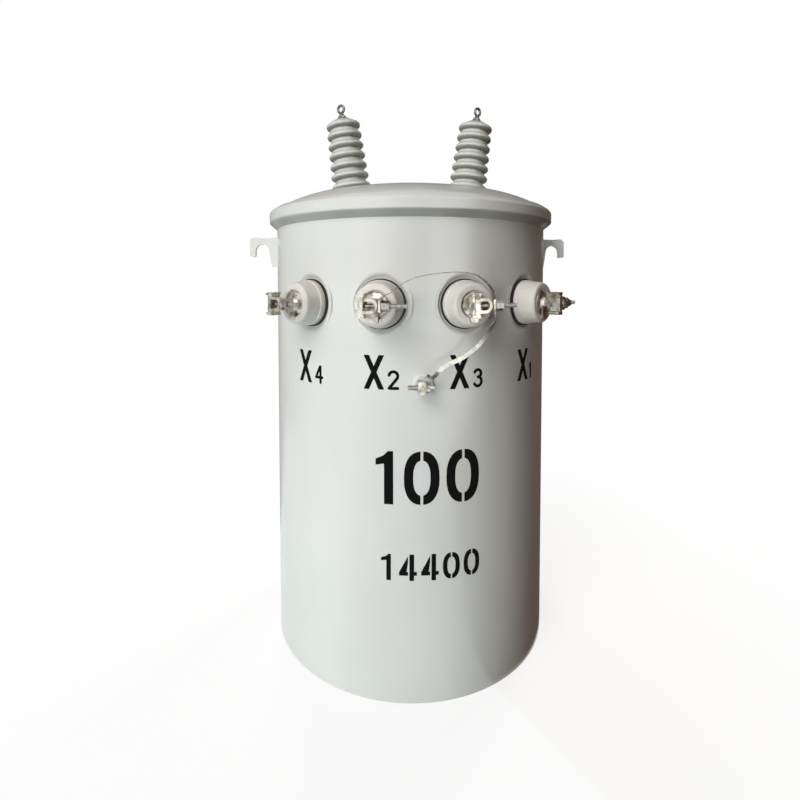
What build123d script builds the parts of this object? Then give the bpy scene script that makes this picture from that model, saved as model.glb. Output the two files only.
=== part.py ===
from build123d import *

import os
from math import acos, atan2, cos, degrees, hypot, radians, sin

# Single-phase pole mounted distribution transformer.
# A round steel tank stands on its bottom skirt.  A pressed cover is held on by a rolled clamping band,
# two ribbed porcelain bushings lean outward on the cover, four low-voltage bushings sit in pressed
# flats on the front of the tank, and two hanger brackets for the pole are welded to its back.
#
# Frame: Z up, tank axis on Z, bottom edge of the skirt at z = 0, low-voltage side toward -Y, pole side +Y.
# Every piece lies where it belongs in the finished transformer.  All lengths in mm.

os.makedirs("parts", exist_ok=True)

# ---- tank ----
tank_r = 300.0
wall = 3.0
rim_z = 890.0          # top of the turned-out tank rim
rim_out = 6.0          # how far the rim turns out
rim_h = 13.2           # height of the rim bead where it meets the wall
skirt_h = 20.0         # the bottom plate sits this far up inside the skirt
bottom_t = 4.0

# ---- cover: heights above the tank rim, radii from the tank wall ----
gasket_t = 4.0
cover_t = 3.0
cover_edge = 3.0       # the cover stands this far out past the rim
crown_h = 72.0
crown_in = 95.0        # how far in from the wall the flat pull of the crown reaches
slope_in, slope_h = 57.0, 57.0         # top of the straight pull of the slope
lip_out, lip_h = 3.0, 24.3             # foot of the slope
lip_drop = 4.0         # from the slope's foot to the turned-down edge
cover_r = tank_r + rim_out + cover_edge
crown_r, crown_z = tank_r - crown_in, rim_z + crown_h
slope_r, slope_z = tank_r - slope_in, rim_z + slope_h
lip_r, lip_z = tank_r + lip_out, rim_z + lip_h

# ---- clamping band ----
band_t = 2.0
band_out = 16.0        # outside of the band from the tank wall
leg_t = 2.5            # upright thickness of the sloping leg
leg_drop = 3.0         # where that leg meets the upright face, below the rim
fit = 0.3              # between the band and what it clamps
hook_drop = rim_h + fit + leg_t        # tip of the leg below the rim
band_round = 8.0       # upper corner of the rolled section
band_joint = 118.0     # where the band is split and drawn together, seen from the front
band_gap = 14.0        # opening between the two band ends
ear_t = 5.0
ear_out, ear_w, ear_h = 19.0, 21.0, 18.0
draw_bolt_out = 11.0   # draw bolt from the outside of the band
draw_bolt_r = 4.0
draw_bolt_end = 18.0   # thread past the second ear
draw_head_t, draw_nut_t = 6.0, 7.0
draw_nut_r = 7.5
band_r = tank_r + band_out

# ---- high-voltage bushings: lengths along the bushing from its seat ----
hv_x = 133.0
hv_seat_h = 73.0       # seat above the tank rim
hv_lean = 7.5
boss_h = 14.0          # raised seat pressed out of the cover
boss_foot_r = 56.0
boss_taper = 33.7      # degrees its side leans in
hv_body_r = 28.0       # porcelain below the cover
hv_body_end_r = 22.0
hv_hole_r = hv_body_r + 1.5
hv_stub = 60.0         # porcelain inside the tank
hv_foot_r = 38.0
hv_foot_h = 3.0
hv_gasket_t = 2.0
hv_sheds = 7
shed_pitch = 23.0
first_shed = 16.0      # rounded tip of the lowest shed
shed_r_low, shed_r_top = 44.0, 38.5
core_r_low, core_r_top = 34.0, 31.0
shed_round = 6.5       # radius of a shed's rounded tip
shed_droop = 8.2       # from the hollow below up to the tip; the rest of the pitch is above it
cap_h = 19.0           # cap above the tip of the top shed
cap_top_r = 11.0
hv_stud_r = 4.5
hv_stud_in = 30.0      # stud inside the porcelain
collar_r, collar_h = 9.5, 2.5
eye_up = 20.5          # centre of the terminal eye above the cap
eye_r = 8.2            # middle of the ring
eye_wire = 2.9         # its half thickness
eye_neck_r = 4.0
eye_turn = 35.0        # degrees the eye is turned round the bushing
hv_seat_z = rim_z + hv_seat_h
cap_top = first_shed + (hv_sheds - 1) * shed_pitch + cap_h

# ---- low-voltage bushings ----
lv_z = rim_z - 169.0
lv_step = 29.0         # angle between neighbours
lv_angles = {"x4": -1.5 * lv_step, "x2": -0.5 * lv_step, "x3": 0.5 * lv_step, "x1": 1.5 * lv_step}
flat_r = 47.0          # pressed flat in the tank wall
flat_rise = 8.0        # width of the sloping edge round the flat
flat_round = 4.0       # inner edge of that slope
flat_shoulder = 7.0    # outer edge of that slope
flat_depth = 6.0
lv_gasket_r = 45.0
lv_gasket_t = 5.0
lv_body_r = 42.5
lv_collar_h, lv_step_in, lv_step_h = 9.0, 1.5, 2.0     # straight collar, then a small step in
lv_neck_r = 29.0       # body through the tank hole
lv_neck_in = 40.0      # its inner end below the tank surface
lv_neck_chamfer = 4.0
lv_hole_r = lv_neck_r + 2
lv_reach = 39.0        # face of the bushing above the tank surface
lv_face_r = 37.5
lv_face_round = 5.5    # rounded rim of the face
well_r = 24.5
well_depth = 6.0
well_chamfer = 1.5
stud_r = 6.5
stud_hole_r = stud_r + 0.5

# ---- cast low-voltage terminal (out from the tank, sideways and up from the bushing axis) ----
stud_in = 52.0         # stud below the tank surface
disc_r, disc_t = 22.0, 3.5             # disc in the well
disc_chamfer = 1.2
neck_foot_r, neck_foot_h = 12.0, 6.0   # neck where it leaves the disc
neck_r, neck_h = 9.0, 12.0
jaw_u = 71.0           # centre of the clamp above the tank surface
jaw_w = 20.0           # jaw, measured outward
jaw_h = 41.0
jaw_near, jaw_far = -11.0, -19.0       # faces of the jaw bar
jaw_flare = 3.0        # the bar widens toward its ends
ear_in, ear_reach = 5.0, 6.0           # ears at both ends, spread away from the loop
web_t = 4.0            # web between neck and clamp
web_h = 20.0
guide_s = 14.5         # inner face of the guide plate beside the loop
guide_t = 3.5
foot_s, foot_w = -2.0, 15.0            # locating foot that reaches down over the bushing face
foot_low, foot_t = 30.0, 4.0

# ---- loop and bolt of the clamp ----
loop_w = 15.0
loop_t = 5.0
loop_half = 12.5
loop_end = 12.5
loop_head_t, loop_head_h = 4.0, 1.5    # headed ends of the loop behind the jaw
slot_play = 0.2        # round the loop where it passes the jaw
clamp_bolt_r = 3.5
clamp_bolt_in = 8.0    # bolt inside the loop
nut_af = 16.0
nut_t = 13.0
bolt_end = 60.0

# ---- neutral link, ground strap and ground connector ----
seat_gap = 0.1         # between plates that are bolted together
strap_t = 1.2
strap_w = 8.0
strap_eye_w = 13.0     # eye at each end of a strap, about its bolt hole
tab_h = 9.6            # half its height
link_rise = 55.0       # top of the neutral link above the bushing axes
bends_per_span = 4     # short flats each bend is pressed in
ground_z = lv_z - 141.0
ground_u = 30.0        # bolt of the ground connector above the tank
ground_boss_r, ground_boss_h = 16.0, 10.0
ground_neck_r, ground_neck_h = 8.0, 8.0
ground_base_t = 4.0    # base of the connector, under both its cheek and the strap
ground_base_h = 14.0
ground_cheek_w, ground_cheek_h, ground_cheek_end = 12.0, 22.0, 7.0
ground_bolt_r = 4.0
ground_bolt_left, ground_bolt_right = 30.0, 16.0       # bolt ends either side of the strap
ground_nut_af, ground_nut_t = 16.0, 8.0

# ---- lifting lugs: distances from the tank wall, heights from the bottom edge ----
lug_t = 10.0
lug_top = rim_z - 28.0
lug_h = 67.0
lug_out = 66.0
lug_dip = 2.5          # the top edge sags between wall and tip
hook_r = 15.5
hook_cover = 17.0      # metal over the hook
tip_w = 13.0           # width of the hook's tip
tip_h = 45.0
root_w = 17.0          # width of the root at the wall
tip_round = 4.0

# ---- hanger brackets on the pole side ----
hanger_spacing = 590.55
hanger_mid_z = 470.0
hanger_out = 62.0
hanger_h = 120.0
hanger_w = 92.0
hanger_t = 8.0
hanger_round = 6.0
slot_r = 9.5
slot_len = 44.0        # overall length of the bolt slot

# ---- room round the sealed inside for the inner ends of the bushings ----
core_room = 60.0
core_top_room = 86.0

sides = {"left": -1, "right": 1}


def radial(angle, z, out=0.0):
    """Plane on the tank surface at an angle from the front: x sideways, y up, normal outward."""
    a = radians(angle)
    r = tank_r + out
    return Plane(origin=(r * sin(a), -r * cos(a), z), x_dir=(cos(a), sin(a), 0), z_dir=(sin(a), -cos(a), 0))


def hv_plane(side, along=0.0):
    """Plane across a high-voltage bushing, a distance along it from its seat: x away from the middle."""
    a = radians(hv_lean)
    up = Vector(side * sin(a), 0, cos(a))
    base = Vector(side * hv_x, 0, hv_seat_z) + up * along
    return Plane(origin=base, x_dir=(side * cos(a), 0, -sin(a)), z_dir=up)


def save(part, label):
    part.label = label
    export_step(part, "parts/" + label + ".step")


# ================= tank shell =================
# Rolled and seam-welded wall with a beaded rim; the four flats are pressed inward for the bushings.
leg_slope = (hook_drop - leg_drop) / (band_out - fit)
with BuildPart() as tank_shell:
    with BuildSketch(Plane.XZ):
        with BuildLine():
            # the bead's underside slopes like the leg of the clamping band that hooks under it
            Polyline(
                (tank_r - wall, 0), (tank_r, 0), (tank_r, rim_z - rim_h),
                (tank_r + rim_out, rim_z - rim_h + rim_out * leg_slope),
                (tank_r + rim_out, rim_z), (tank_r - wall, rim_z), close=True,
            )
        make_face()
    revolve(axis=Axis.Z)
    for angle in lv_angles.values():
        # back of the pressing, seen from inside
        with BuildSketch(radial(angle, lv_z, -flat_depth - wall)):
            Circle(flat_r + 2)
        with BuildSketch(radial(angle, lv_z, -wall)):
            Circle(flat_r + flat_rise + 2)
        loft()
    for angle in lv_angles.values():
        # the flat itself with its sloping edge, carried on past the surface of the wall
        with BuildSketch(radial(angle, lv_z, -flat_depth)):
            Circle(flat_r)
        with BuildSketch(radial(angle, lv_z, flat_depth)):
            Circle(flat_r + 2 * flat_rise)
        loft(mode=Mode.SUBTRACT)
    pressed = tank_shell.edges().filter_by(lambda e: e.geom_type == GeomType.CIRCLE and abs(e.radius - flat_r) < 0.01)
    fillet(pressed, flat_round)
    shoulders = tank_shell.edges().filter_by(
        lambda e: e.geom_type not in (GeomType.CIRCLE, GeomType.LINE)
        and abs(hypot(e.center().X, e.center().Y) - tank_r) < flat_depth
        and e.length > 2 * flat_r and hypot((e @ 0).X, (e @ 0).Y) > tank_r - wall / 2
    )
    fillet(shoulders, flat_shoulder)
    for angle in lv_angles.values():
        with BuildSketch(radial(angle, lv_z, -flat_depth - 2 * wall)):
            Circle(lv_hole_r)
        extrude(amount=4 * wall, mode=Mode.SUBTRACT)
save(tank_shell.part, "tank_shell")

with BuildPart() as tank_bottom:
    with BuildSketch(Plane.XY.offset(skirt_h)):
        Circle(tank_r - wall)
    extrude(amount=bottom_t)
save(tank_bottom.part, "tank_bottom")

# ================= cover =================
with BuildPart() as cover:
    # outside: flat-domed crown that turns down into the slope, then a turned-down edge
    seat_z = rim_z + gasket_t
    with BuildSketch(Plane.XZ):
        with BuildLine():
            Bezier((0, crown_z), (crown_r, crown_z), (slope_r, slope_z), (lip_r, lip_z))
            Polyline((lip_r, lip_z), (cover_r, lip_z - lip_drop), (cover_r, seat_z), (0, seat_z), (0, crown_z))
        make_face()
    revolve(axis=Axis.Z)
    for side in sides.values():
        # raised seat for each bushing, square to its lean
        with BuildSketch(hv_plane(side, -boss_h)):
            Circle(boss_foot_r)
        extrude(amount=boss_h - hv_gasket_t, taper=boss_taper)
    for side in sides.values():
        with BuildSketch(hv_plane(side, -hv_gasket_t)):
            Circle(boss_foot_r)
        extrude(amount=boss_h, mode=Mode.SUBTRACT)
    # inside: the same dish, one plate thickness in
    edge_in = cover_r - cover_t - 1
    with BuildSketch(Plane.XZ):
        with BuildLine():
            Bezier(
                (0, crown_z - cover_t), (crown_r, crown_z - cover_t), (slope_r - cover_t / 2, slope_z - cover_t),
                (lip_r - cover_t, lip_z - cover_t),
            )
            Polyline(
                (lip_r - cover_t, lip_z - cover_t), (edge_in, lip_z - lip_drop - 1), (edge_in, seat_z),
                (0, seat_z), (0, crown_z - cover_t),
            )
        make_face()
    revolve(axis=Axis.Z, mode=Mode.SUBTRACT)
    for side in sides.values():
        with BuildSketch(hv_plane(side, -hv_stub)):
            Circle(hv_hole_r)
        extrude(amount=hv_stub, mode=Mode.SUBTRACT)
save(cover.part, "cover")

with BuildPart() as cover_gasket:
    with BuildSketch(Plane.XY.offset(rim_z)):
        Circle(cover_r)
        Circle(tank_r - 1, mode=Mode.SUBTRACT)
    extrude(amount=gasket_t)
save(cover_gasket.part, "cover_gasket")

# ================= clamping band =================
# Rolled section: a sloping lower leg hooks under the bead of the tank, the upper lip lies on the cover.
band_mid_z = rim_z + (lip_h - leg_drop) / 2
joint_plane = radial(band_joint, band_mid_z, band_out)
lip_slope = lip_drop / (cover_r - lip_r)
with BuildPart() as cover_band:
    with BuildSketch(Plane.XZ):
        with BuildLine():
            Polyline(
                (tank_r + fit, rim_z - hook_drop), (band_r, rim_z - leg_drop),
                (band_r, lip_z + band_t + fit - (band_r - lip_r) * lip_slope), (lip_r, lip_z + band_t + fit),
                (lip_r, lip_z + fit), (band_r - band_t, lip_z + fit - (band_r - band_t - lip_r) * lip_slope),
                (band_r - band_t, rim_z - leg_drop + leg_t - band_t * leg_slope),
                (tank_r + fit, rim_z - hook_drop + leg_t), close=True,
            )
        make_face()
        fillet(vertices().filter_by_position(Axis.X, band_r - 0.1, band_r + 0.1).sort_by(Axis.Y)[-1], band_round)
        fillet(vertices().filter_by_position(Axis.X, band_r - 0.1, band_r + 0.1).sort_by(Axis.Y)[0], band_t)
        inner = vertices().filter_by_position(Axis.X, band_r - band_t - 0.1, band_r - band_t + 0.1)
        fillet(inner.sort_by(Axis.Y)[-1], band_round - band_t)
    revolve(axis=Axis.Z)
    with BuildSketch(joint_plane):
        Rectangle(band_gap, 3 * ear_out)
    extrude(amount=2 * ear_out, both=True, mode=Mode.SUBTRACT)
    # the two ears the draw bolt pulls together, reaching in as far as the face of the band
    with BuildSketch(Plane(origin=joint_plane.origin, x_dir=joint_plane.z_dir, z_dir=joint_plane.x_dir)):
        with Locations((ear_out - ear_w / 2, 0)):
            RectangleRounded(ear_w, ear_h, 3)
        with Locations((draw_bolt_out, 0)):
            Circle(draw_bolt_r + 0.5, mode=Mode.SUBTRACT)
    extrude(amount=band_gap / 2 + ear_t, both=True)
    with BuildSketch(joint_plane.offset(ear_out - ear_w - 2)):
        Rectangle(band_gap, 3 * ear_out)
    extrude(amount=2 * ear_w, mode=Mode.SUBTRACT)
save(cover_band.part, "cover_band")

# draw bolt through both ears, head on one side and nut on the other
bolt_axis = Plane(
    origin=joint_plane.origin + joint_plane.z_dir * draw_bolt_out, x_dir=joint_plane.z_dir, z_dir=joint_plane.x_dir
)
ear_face = band_gap / 2 + ear_t
with BuildPart() as cover_band_bolt:
    with BuildSketch(bolt_axis.offset(-ear_face - draw_head_t)):
        RegularPolygon(draw_nut_r, 6)
    extrude(amount=draw_head_t)
    with BuildSketch(bolt_axis.offset(-ear_face)):
        Circle(draw_bolt_r)
    extrude(amount=2 * ear_face + draw_bolt_end)
    with BuildSketch(bolt_axis.offset(ear_face)):
        RegularPolygon(draw_nut_r, 6)
    extrude(amount=draw_nut_t)
save(cover_band_bolt.part, "cover_band_bolt")

# ================= high-voltage bushings =================


def hollow_end(tip_r, shed_at, core_r, rise):
    """Where the round tip of a shed runs into the hollow that reaches the core, rise above or below the tip.

    Two tangent arcs: their centres lie tip radius plus hollow radius apart."""
    depth = tip_r - core_r
    centres = (depth**2 + rise**2) / (2 * depth)
    lean = (depth - centres) / centres
    return (tip_r - shed_round - shed_round * lean, shed_at + shed_round * rise / centres)


for name, side in sides.items():
    with BuildPart() as hv_gasket:
        with BuildSketch(hv_plane(side, -hv_gasket_t)):
            Circle(hv_foot_r + 2)
            Circle(hv_hole_r, mode=Mode.SUBTRACT)
        extrude(amount=hv_gasket_t)
    save(hv_gasket.part, "hv_gasket_" + name)

    # turned porcelain: every shed is a round, drooping lobe that runs into the core through tangent hollows
    with BuildPart() as hv_bushing:
        with BuildSketch(Plane.XZ):
            with BuildLine():
                Polyline((0, -hv_stub), (hv_body_end_r, -hv_stub), (hv_body_r, 0), (hv_foot_r, 0), (hv_foot_r, hv_foot_h))
                at = (core_r_low + 1, first_shed - shed_droop)
                Line((hv_foot_r, hv_foot_h), at)
                for i in range(hv_sheds):
                    grow = i / (hv_sheds - 1)
                    tip = shed_r_low + (shed_r_top - shed_r_low) * grow
                    core = core_r_low + (core_r_top - core_r_low) * grow
                    shed_at = first_shed + i * shed_pitch
                    below = TangentArc(at, hollow_end(tip, shed_at, at[0], -shed_droop), tangent=(0, 1))
                    if i == hv_sheds - 1:
                        # the cap rises from the top shed in one cone, tangent to its rounded tip
                        inward, upward = tip - shed_round - cap_top_r, cap_h
                        turn = atan2(upward, -inward) - acos(shed_round / hypot(inward, upward))
                        last = (tip - shed_round + shed_round * cos(turn), shed_at + shed_round * sin(turn))
                        TangentArc(below @ 1, last, tangent=below % 1)
                        Line(last, (cap_top_r, cap_top))
                        break
                    upper = shed_pitch - shed_droop
                    lobe = TangentArc(below @ 1, hollow_end(tip, shed_at, core, upper), tangent=below % 1)
                    at = (core, shed_at + upper)
                    TangentArc(lobe @ 1, at, tangent=lobe % 1)
                Polyline(
                    (cap_top_r, cap_top), (hv_stud_r, cap_top), (hv_stud_r, cap_top - hv_stud_in),
                    (0, cap_top - hv_stud_in), (0, -hv_stub),
                )
            make_face()
        revolve(axis=Axis.Z)
    placed = hv_plane(side).location * hv_bushing.part
    save(placed, "hv_bushing_" + name)

    # eyebolt terminal with its collar
    eye_w = cap_top + eye_up
    with BuildPart() as hv_terminal:
        with BuildSketch(Plane.XZ):
            with BuildLine():
                Polyline(
                    (0, cap_top - hv_stud_in), (hv_stud_r, cap_top - hv_stud_in), (hv_stud_r, cap_top),
                    (collar_r, cap_top), (collar_r, cap_top + collar_h), (eye_neck_r, cap_top + eye_up / 2),
                    (eye_neck_r, eye_w - eye_r), (0, eye_w - eye_r), close=True,
                )
            make_face()
        revolve(axis=Axis.Z)
        with BuildSketch(Plane.XY.offset(eye_w)):
            with Locations((eye_r, 0)):
                Circle(eye_wire)
        revolve(axis=Axis((0, 0, eye_w), (0, 1, 0)))
    placed = hv_plane(side).location * Rot(0, 0, side * eye_turn) * hv_terminal.part
    save(placed, "hv_terminal_" + name)

# ================= low-voltage bushings, terminals and clamps =================
for name, angle in lv_angles.items():
    seat = radial(angle, lv_z)

    with BuildPart() as lv_gasket:
        with BuildSketch(seat.offset(-flat_depth)):
            Circle(lv_gasket_r)
            Circle(lv_hole_r, mode=Mode.SUBTRACT)
        extrude(amount=lv_gasket_t)
    save(lv_gasket.part, "lv_gasket_" + name)

    # moulded body: straight collar, a small step, then a taper to the rounded face with its terminal well
    seat_u = lv_gasket_t - flat_depth
    step_u = seat_u + lv_collar_h + lv_step_h
    with BuildPart() as lv_bushing:
        with BuildSketch(Plane.XZ):
            with BuildLine():
                Polyline(
                    (stud_hole_r, -lv_neck_in), (lv_neck_r - lv_neck_chamfer, -lv_neck_in),
                    (lv_neck_r, lv_neck_chamfer - lv_neck_in), (lv_neck_r, seat_u), (lv_body_r, seat_u),
                    (lv_body_r, seat_u + lv_collar_h), (lv_body_r - lv_step_in, step_u), (lv_face_r, lv_reach),
                    (well_r + well_chamfer, lv_reach), (well_r, lv_reach - well_chamfer),
                    (well_r, lv_reach - well_depth), (stud_hole_r, lv_reach - well_depth), close=True,
                )
            make_face()
            fillet(vertices().sort_by_distance((lv_face_r, lv_reach))[0], lv_face_round)
        revolve(axis=Axis.Z)
    save(seat.location * lv_bushing.part, "lv_bushing_" + name)

    # cast terminal: stud through the bushing, disc in the well, neck, and the jaw the loop pulls against
    well_floor = lv_reach - well_depth
    jaw_root = jaw_u - jaw_w / 2
    with BuildPart() as lv_terminal:
        with BuildSketch(Plane.XZ):
            with BuildLine():
                Polyline(
                    (0, -stud_in), (stud_r, -stud_in), (stud_r, well_floor), (disc_r, well_floor),
                    (disc_r, well_floor + disc_t - disc_chamfer), (disc_r - disc_chamfer, well_floor + disc_t),
                    (neck_foot_r, well_floor + neck_foot_h), (neck_r, well_floor + neck_h),
                    (neck_r, jaw_root - web_t / 2), (0, jaw_root - web_t / 2), close=True,
                )
            make_face()
        revolve(axis=Axis.Z)
        # jaw: upright bar beside the loop, with ears spread at both ends
        with BuildSketch(Plane.XY.offset(jaw_root)):
            with BuildLine():
                Polyline(
                    (jaw_near, 0), (jaw_near, loop_half), (jaw_near + jaw_flare, jaw_h / 2),
                    (jaw_far, jaw_h / 2), (jaw_far - ear_reach, jaw_h / 2 - ear_in / 2),
                    (jaw_far - ear_reach, jaw_h / 2 - ear_in), (jaw_far, jaw_h / 2 - ear_in), (jaw_far, 0),
                )
                mirror(about=Plane.XZ)
            make_face()
        extrude(amount=jaw_w)
        # web from the neck out to the jaw, and up into the guide plate the bolt passes through
        with BuildSketch(Plane.XY.offset(jaw_root - web_t)):
            with Locations(((guide_s + guide_t + jaw_far) / 2, 0)):
                RectangleRounded(guide_s + guide_t - jaw_far, web_h, 2)
        extrude(amount=web_t)
        with BuildSketch(Plane.XY.offset(jaw_root - web_t)):
            with Locations((guide_s + guide_t / 2, 0)):
                Rectangle(guide_t, web_h)
        extrude(amount=jaw_w + web_t / 2)
        with BuildSketch(Plane.XY.offset(lv_reach)):
            with Locations((foot_s, -foot_low / 2)):
                RectangleRounded(foot_w, foot_low, 2)
        extrude(amount=foot_t)
        # bolt hole through the guide plate, slots for the loop through the jaw
        with BuildSketch(Plane(origin=(0, 0, jaw_u), x_dir=(0, 1, 0), z_dir=(1, 0, 0))):
            Circle(clamp_bolt_r + 2 * slot_play)
        extrude(amount=2 * guide_s, mode=Mode.SUBTRACT)
        with BuildSketch(Plane.XY.offset(jaw_u - loop_w / 2 - slot_play)):
            with Locations((jaw_far, loop_half - loop_t / 2), (jaw_far, -loop_half + loop_t / 2)):
                Rectangle(4 * jaw_flare + 2 * ear_reach, loop_t + 2 * slot_play)
        extrude(amount=loop_w + 2 * slot_play, mode=Mode.SUBTRACT)
    save(seat.location * lv_terminal.part, "lv_terminal_" + name)

    # loop bent from flat bar, its legs headed over behind the jaw
    leg_y = loop_half - loop_t / 2
    bend_s = loop_end - loop_half
    head_s = jaw_far - slot_play - loop_head_t / 2
    with BuildPart() as lv_clamp:
        with BuildSketch(Plane.XY.offset(jaw_u - loop_w / 2)):
            with BuildLine():
                Polyline((head_s, leg_y), (bend_s, leg_y))
                ThreePointArc((bend_s, leg_y), (loop_end - loop_t / 2, 0), (bend_s, -leg_y))
                Polyline((bend_s, -leg_y), (head_s, -leg_y))
            trace(line_width=loop_t)
            with Locations((head_s, leg_y), (head_s, -leg_y)):
                Rectangle(loop_head_t, loop_t + 2 * loop_head_h)
        extrude(amount=loop_w)
        with BuildSketch(Plane(origin=(0, 0, jaw_u), x_dir=(0, 1, 0), z_dir=(1, 0, 0))):
            Circle(clamp_bolt_r + slot_play / 2)
        extrude(amount=2 * loop_end, mode=Mode.SUBTRACT)
    save(seat.location * lv_clamp.part, "lv_clamp_" + name)

    # threaded clamp bolt, its tip inside the loop, with its hex nut against the guide plate or the straps on it
    straps_here = {"x2": 1, "x3": 2}.get(name, 0)
    nut_s = guide_s + guide_t + seat_gap + straps_here * (strap_t + seat_gap)
    with BuildPart() as lv_clamp_bolt:
        with BuildSketch(Plane(origin=(-clamp_bolt_in, 0, jaw_u), x_dir=(0, 1, 0), z_dir=(1, 0, 0))):
            Circle(clamp_bolt_r)
        extrude(amount=clamp_bolt_in + bolt_end)
        with BuildSketch(Plane(origin=(nut_s, 0, jaw_u), x_dir=(0, 1, 0), z_dir=(1, 0, 0))):
            RegularPolygon(nut_af / 2, 6, major_radius=False)
        extrude(amount=nut_t)
    save(seat.location * lv_clamp_bolt.part, "lv_clamp_bolt_" + name)

# ================= ground connector on the tank front =================
ground = radial(0, ground_z)
ground_axis = Plane(origin=ground.origin + ground.z_dir * ground_u, x_dir=(0, 0, 1), z_dir=ground.x_dir)
with BuildPart() as ground_boss:
    with BuildSketch(ground.offset(-ground_boss_h / 2)):
        Circle(ground_boss_r)
    extrude(amount=1.5 * ground_boss_h)
    with BuildSketch(Plane.XY.offset(ground_z - 2 * ground_boss_r)):
        Circle(tank_r)
    extrude(amount=4 * ground_boss_r, mode=Mode.SUBTRACT)
save(ground_boss.part, "ground_boss")

cheek_s = -(strap_t / 2 + seat_gap + ground_cheek_w / 2)
base_u = ground_boss_h + ground_neck_h
with BuildPart() as ground_connector:
    with BuildSketch(ground.offset(ground_boss_h)):
        Circle(ground_neck_r)
    extrude(amount=ground_neck_h)
    with BuildSketch(ground.offset(base_u)):
        with Locations((cheek_s, 0)):
            RectangleRounded(ground_cheek_w, ground_cheek_h, 2)
        Rectangle(ground_cheek_w, ground_base_h)
    extrude(amount=ground_base_t)
    with BuildSketch(ground.offset(base_u)):
        with Locations((cheek_s, 0)):
            RectangleRounded(ground_cheek_w, ground_cheek_h, 2)
    extrude(amount=ground_u + ground_cheek_end - base_u)
    with BuildSketch(ground_axis.offset(-ground_cheek_w * 2)):
        Circle(ground_bolt_r + slot_play)
    extrude(amount=ground_cheek_w * 4, mode=Mode.SUBTRACT)
save(ground_connector.part, "ground_connector")

# bolt through the body and the strap end, hex nut on the right
with BuildPart() as ground_bolt:
    with BuildSketch(ground_axis.offset(-ground_bolt_left)):
        Circle(ground_bolt_r)
    extrude(amount=ground_bolt_left + ground_bolt_right)
    with BuildSketch(ground_axis.offset(strap_t / 2 + seat_gap)):
        RegularPolygon(ground_nut_af / 2, 6, major_radius=False)
    extrude(amount=ground_nut_t)
save(ground_bolt.part, "ground_bolt")

# ================= neutral link and ground strap =================


def strip(stations, ends):
    """Flat strip bent through stations of angle, height above the tank, z and turn (0 on edge, 90 flat).

    Each end is the plane across its bolt, the bolt radius, and the straight run up or down into its eye."""
    points, across = [], []
    for angle, out, z, turn in stations:
        a = radians(angle)
        across.append(Vector(sin(a), -cos(a), 0))
        points.append(across[-1] * (tank_r + out) + Vector(0, 0, z))
    across[0], across[-1] = (plane.y_dir for plane, bolt_r, tab in ends)
    away = [Vector(0, 0, tab) for plane, bolt_r, tab in ends]
    line = Edge.make_spline(points, tangents=[-away[0].normalized(), away[1].normalized()])
    at = [line.param_at_point(point) for point in points]

    sections = []
    for i in range(len(stations) - 1):
        for k in range(bends_per_span + (i == len(stations) - 2)):
            part_way = k / bends_per_span
            u = at[i] + (at[i + 1] - at[i]) * part_way
            turn = radians(stations[i][3] + (stations[i + 1][3] - stations[i][3]) * part_way)
            run = line.tangent_at(u)
            wide = across[i] + (across[i + 1] - across[i]) * part_way
            wide = (wide - run * wide.dot(run)).normalized()
            wide = wide * cos(turn) + run.cross(wide) * sin(turn)
            sections.append(Plane(origin=line.position_at(u), x_dir=wide, z_dir=run))
    first, last = sections[0], sections[-1]
    sections.insert(0, Plane(origin=first.origin + away[0], x_dir=first.x_dir, z_dir=first.z_dir))
    sections.append(Plane(origin=last.origin + away[1], x_dir=last.x_dir, z_dir=last.z_dir))
    with BuildPart() as made:
        for plane in sections:
            with BuildSketch(plane):
                Rectangle(strap_w, strap_t)
        loft(ruled=True)
        for plane, bolt_r, tab in ends:
            with BuildSketch(plane.offset(-strap_t / 2)):
                SlotOverall(2 * tab_h, strap_eye_w)
            extrude(amount=strap_t)
        for plane, bolt_r, tab in ends:
            with BuildSketch(plane.offset(-2 * strap_t)):
                Circle(bolt_r + 0.5)
            extrude(amount=4 * strap_t, mode=Mode.SUBTRACT)
    return made.part


def clamp_axis(name, along):
    """Plane across the clamp bolt of one terminal, at a distance along the bolt: x up, y away from the tank."""
    seat = radial(lv_angles[name], lv_z, jaw_u)
    return Plane(origin=seat.origin + seat.x_dir * along, x_dir=(0, 0, 1), z_dir=seat.x_dir)


# middle of each strap end, in the order they lie between guide plate and nut; tab_in is what runs into the eye
link_tab = guide_s + guide_t + seat_gap + strap_t / 2
strap_tab = link_tab + strap_t + seat_gap
x2, x3 = lv_angles["x2"], lv_angles["x3"]
tab_in = 1.5 * tab_h


def beside(angle, along, z):
    """Station at the end of a tab, beside a terminal's axis."""
    return (angle + degrees(atan2(along, tank_r + jaw_u)), hypot(along, tank_r + jaw_u) - tank_r, z, 0)


# thin strap set on edge, from the X2 clamp bolt over the top of the X3 bushing to the X3 clamp bolt
over = ((x2 + 4.4, 0.35), (x2 + 8, 0.65), (x3 - 14, 0.93), (x3 - 7, 1.0), (x3, 0.78), (x3 + 3, 0.4))
link = strip(
    [
        beside(x2, link_tab, lv_z + tab_h), *((angle, jaw_u, lv_z + share * link_rise, 0) for angle, share in over),
        beside(x3, link_tab, lv_z + tab_h),
    ],
    [(clamp_axis("x2", link_tab), clamp_bolt_r, -tab_in), (clamp_axis("x3", link_tab), clamp_bolt_r, -tab_in)],
)
save(link, "neutral_link")


def falling(angle, down, out, turn):
    """Station of the ground strap: shares of the way down to the ground bolt and of the clamp's height."""
    return (angle, ground_u + out * (jaw_u - ground_u), lv_z + down * (ground_z - lv_z), turn)


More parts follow.
